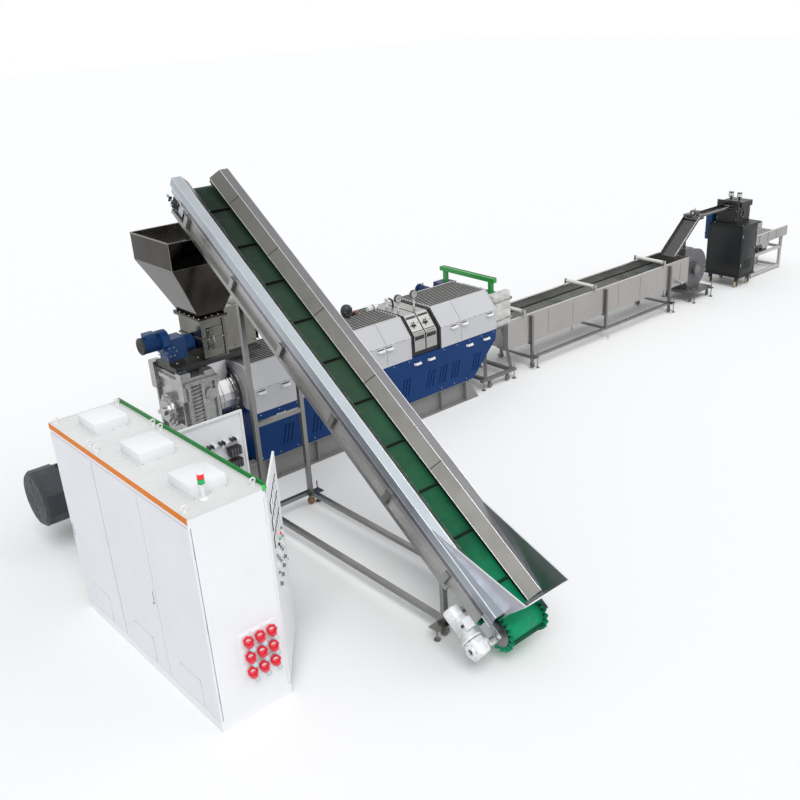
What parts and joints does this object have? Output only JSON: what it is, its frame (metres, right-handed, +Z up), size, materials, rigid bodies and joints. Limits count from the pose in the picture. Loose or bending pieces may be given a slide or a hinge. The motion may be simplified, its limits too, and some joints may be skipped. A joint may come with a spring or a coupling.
{
  "type": "plastic pelletizing line",
  "caption": "Plastic pelletizing line: control cabinet, cleated belt conveyor, hopper, guarded extruder, cooling tank, blower, strand chute, pelletizer and vibrating screen.",
  "frame": {"origin": "middle of the underside of the extruder frame's broad foot at its die end", "axes": "+X down the line from the drive motor to the vibrating screen, +Y away from the conveyor's side, +Z up"},
  "size_m": [15.455, 6.5973, 3.7748],
  "materials": {
    "cabinet_carcass": "satin white powder coat",
    "cabinet_roof": "satin white powder coat",
    "cabinet_back_trim": "satin orange",
    "cabinet_front_trim": "satin green",
    "front_door_near": "satin white powder coat",
    "front_door_middle": "satin white powder coat",
    "front_door_far": "satin white powder coat",
    "back_door_near": "satin white powder coat",
    "back_door_middle": "satin white powder coat",
    "back_door_far": "satin white powder coat",
    "device_plate": "zinc-plated plate with moulded switchgear",
    "power_sockets": "moulded red",
    "signal_lamp": "translucent lenses",
    "base_frame": "satin grey",
    "main_motor": "painted casting",
    "gearbox": "silver-painted casting",
    "feed_barrel": "turned steel",
    "guard_cover_rear": "satin light grey",
    "guard_cover_front": "satin light grey",
    "guard_skirt_rear": "satin deep blue",
    "guard_skirt_front": "satin deep blue",
    "vent_well": "matt black",
    "vent_box_rear": "brushed stainless",
    "vent_box_front": "brushed stainless",
    "hopper": "polished stainless, dark reflections",
    "feeder_casing": "brushed stainless",
    "side_box": "dark brushed stainless",
    "feeder_adapter": "satin black",
    "feeder_gearmotor": "satin blue",
    "screen_changer": "machined steel",
    "insulated_cover": "off-white insulating cloth",
    "changer_ram": "dark blue",
    "changer_rail": "green",
    "die_stand": "satin grey",
    "conveyor_trough": "brushed stainless",
    "conveyor_frame": "brushed stainless tube",
    "conveyor_legs": "brushed stainless tube",
    "conveyor_belt": "green PVC, semi-matt",
    "drive_drum": "turned steel",
    "head_drum": "turned steel",
    "conveyor_gearmotor": "pale cast aluminium",
    "loading_chute": "brushed stainless sheet",
    "water_tank": "brushed stainless sheet",
    "tank_frame": "brushed stainless tube",
    "guide_roller_1": "pale nylon",
    "guide_roller_2": "pale nylon",
    "guide_roller_3": "pale nylon",
    "blower": "satin grey",
    "strand_chute": "brushed stainless sheet",
    "pelletizer_cabinet": "satin near-black",
    "caster_wheel_1": "cream nylon",
    "caster_wheel_2": "cream nylon",
    "caster_wheel_3": "cream nylon",
    "caster_wheel_4": "cream nylon",
    "cutter_head": "satin black",
    "pelletizer_switch_box": "satin blue",
    "screen_frame": "satin light grey",
    "screen_tray": "brushed stainless"
  },
  "bodies": {
    "line": {"cabinet_carcass": "cabinet_carcass", "cabinet_roof": "cabinet_roof", "cabinet_back_trim": "cabinet_back_trim", "cabinet_front_trim": "cabinet_front_trim", "device_plate": "device_plate", "power_sockets": "power_sockets", "signal_lamp": "signal_lamp", "base_frame": "base_frame", "main_motor": "main_motor", "gearbox": "gearbox", "feed_barrel": "feed_barrel", "guard_cover_rear": "guard_cover_rear", "guard_cover_front": "guard_cover_front", "guard_skirt_rear": "guard_skirt_rear", "guard_skirt_front": "guard_skirt_front", "vent_well": "vent_well", "vent_box_rear": "vent_box_rear", "vent_box_front": "vent_box_front", "hopper": "hopper", "feeder_casing": "feeder_casing", "side_box": "side_box", "feeder_adapter": "feeder_adapter", "feeder_gearmotor": "feeder_gearmotor", "screen_changer": "screen_changer", "insulated_cover": "insulated_cover", "changer_ram": "changer_ram", "changer_rail": "changer_rail", "die_stand": "die_stand", "conveyor_trough": "conveyor_trough", "conveyor_frame": "conveyor_frame", "conveyor_legs": "conveyor_legs", "conveyor_belt": "conveyor_belt", "conveyor_gearmotor": "conveyor_gearmotor", "loading_chute": "loading_chute", "water_tank": "water_tank", "tank_frame": "tank_frame", "blower": "blower", "strand_chute": "strand_chute", "pelletizer_cabinet": "pelletizer_cabinet", "cutter_head": "cutter_head", "pelletizer_switch_box": "pelletizer_switch_box", "screen_frame": "screen_frame", "screen_tray": "screen_tray"},
    "near_front_leaf": {"front_door_near": "front_door_near"},
    "middle_front_leaf": {"front_door_middle": "front_door_middle"},
    "far_front_leaf": {"front_door_far": "front_door_far"},
    "near_back_leaf": {"back_door_near": "back_door_near"},
    "middle_back_leaf": {"back_door_middle": "back_door_middle"},
    "far_back_leaf": {"back_door_far": "back_door_far"},
    "drive_drum_body": {"drive_drum": "drive_drum"},
    "head_drum_body": {"head_drum": "head_drum"},
    "guide_roller_1_body": {"guide_roller_1": "guide_roller_1"},
    "guide_roller_2_body": {"guide_roller_2": "guide_roller_2"},
    "guide_roller_3_body": {"guide_roller_3": "guide_roller_3"},
    "caster_wheel_1_body": {"caster_wheel_1": "caster_wheel_1"},
    "caster_wheel_2_body": {"caster_wheel_2": "caster_wheel_2"},
    "caster_wheel_3_body": {"caster_wheel_3": "caster_wheel_3"},
    "caster_wheel_4_body": {"caster_wheel_4": "caster_wheel_4"}
  },
  "joints": [
    {"name": "front_door_near_hinge", "type": "hinge", "parent": "line", "child": "near_front_leaf", "pos_m": [-5.559, -3.841, 0.106], "axis": [0, 0, -1], "range_deg": [-38, 72]},
    {"name": "front_door_middle_hinge", "type": "hinge", "parent": "line", "child": "middle_front_leaf", "pos_m": [-5.559, -2.209, 0.106], "axis": [0, 0, 1], "range_deg": [-90, 0]},
    {"name": "front_door_far_hinge", "type": "hinge", "parent": "line", "child": "far_front_leaf", "pos_m": [-5.559, -1.349, 0.106], "axis": [0, 0, 1], "range_deg": [0, 105]},
    {"name": "back_door_near_hinge", "type": "hinge", "parent": "line", "child": "near_back_leaf", "pos_m": [-6.221, -3.841, 0.106], "axis": [0, 0, 1], "range_deg": [0, 105]},
    {"name": "back_door_middle_hinge", "type": "hinge", "parent": "line", "child": "middle_back_leaf", "pos_m": [-6.221, -2.209, 0.106], "axis": [0, 0, -1], "range_deg": [0, 90]},
    {"name": "back_door_far_hinge", "type": "hinge", "parent": "line", "child": "far_back_leaf", "pos_m": [-6.221, -2.171, 0.106], "axis": [0, 0, 1], "range_deg": [0, 90]},
    {"name": "drive_drum_spin", "type": "hinge", "parent": "line", "child": "drive_drum_body", "pos_m": [-3.79, -4.8347, 0.2897], "axis": [1, 0, 0], "continuous": true},
    {"name": "head_drum_spin", "type": "hinge", "parent": "line", "child": "head_drum_body", "pos_m": [-3.79, -0.25005, 3.488], "axis": [1, 0, 0], "continuous": true},
    {"name": "guide_roller_1_spin", "type": "hinge", "parent": "line", "child": "guide_roller_1_body", "pos_m": [1.33, 0.0525, 0.955], "axis": [0, 1, 0], "continuous": true},
    {"name": "guide_roller_2_spin", "type": "hinge", "parent": "line", "child": "guide_roller_2_body", "pos_m": [3.05, 0.0525, 0.955], "axis": [0, 1, 0], "continuous": true},
    {"name": "guide_roller_3_spin", "type": "hinge", "parent": "line", "child": "guide_roller_3_body", "pos_m": [4.98, 0.0525, 0.955], "axis": [0, 1, 0], "continuous": true},
    {"name": "caster_wheel_1_spin", "type": "hinge", "parent": "line", "child": "caster_wheel_1_body", "pos_m": [7.29, -0.36, 0.06], "axis": [0, 1, 0], "continuous": true},
    {"name": "caster_wheel_2_spin", "type": "hinge", "parent": "line", "child": "caster_wheel_2_body", "pos_m": [7.29, 0.21, 0.06], "axis": [0, 1, 0], "continuous": true},
    {"name": "caster_wheel_3_spin", "type": "hinge", "parent": "line", "child": "caster_wheel_3_body", "pos_m": [7.69, -0.36, 0.06], "axis": [0, 1, 0], "continuous": true},
    {"name": "caster_wheel_4_spin", "type": "hinge", "parent": "line", "child": "caster_wheel_4_body", "pos_m": [7.69, 0.21, 0.06], "axis": [0, 1, 0], "continuous": true}
  ],
  "couplings": [
    {"joint": "head_drum_spin", "follows": "drive_drum_spin", "ratio": 1}
  ]
}
